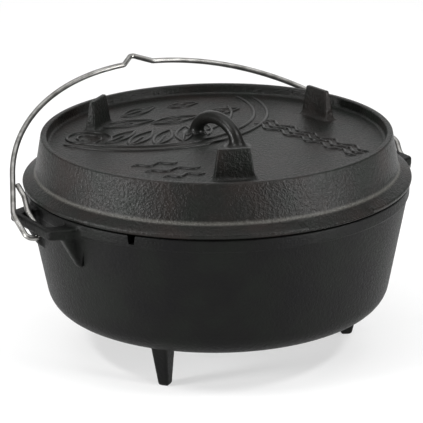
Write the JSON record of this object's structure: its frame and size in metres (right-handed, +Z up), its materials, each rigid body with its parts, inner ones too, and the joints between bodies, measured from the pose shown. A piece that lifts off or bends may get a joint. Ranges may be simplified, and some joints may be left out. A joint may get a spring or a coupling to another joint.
{
  "type": "cast iron dutch oven",
  "caption": "Round cast iron camp oven on short tapered legs, with a flanged lid that carries raised feet and a loop handle, and a swinging wire bail hooked into side ears.",
  "frame": {"origin": "on the ground plane under the soles of the legs, on the pot's vertical axis", "axes": "+Z up along the pot's axis, +X along the bail's pivot line, out through one ear, +Y towards the side the bail leans to at rest"},
  "size_m": [0.4051, 0.3495, 0.233],
  "materials": {
    "pot_iron": "seasoned sand-cast iron, satin black grey",
    "lid_iron": "seasoned sand-cast iron, fine grain, slightly brown",
    "bail_wire": "bright drawn steel wire"
  },
  "bodies": {
    "pot": {"pot": "pot_iron"},
    "lid": {"lid": "lid_iron"},
    "bail": {"bail": "bail_wire"}
  },
  "joints": [
    {"name": "bail_swing", "type": "hinge", "parent": "pot", "child": "bail", "pos_m": [0, 0, 0.1465], "axis": [1, 0, 0], "range_deg": [0, 126.4]},
    {"name": "lid_lift", "type": "slide", "parent": "pot", "child": "lid", "axis": [0, -0.4226, 0.9063], "range_m": [0, 0.12]}
  ]
}
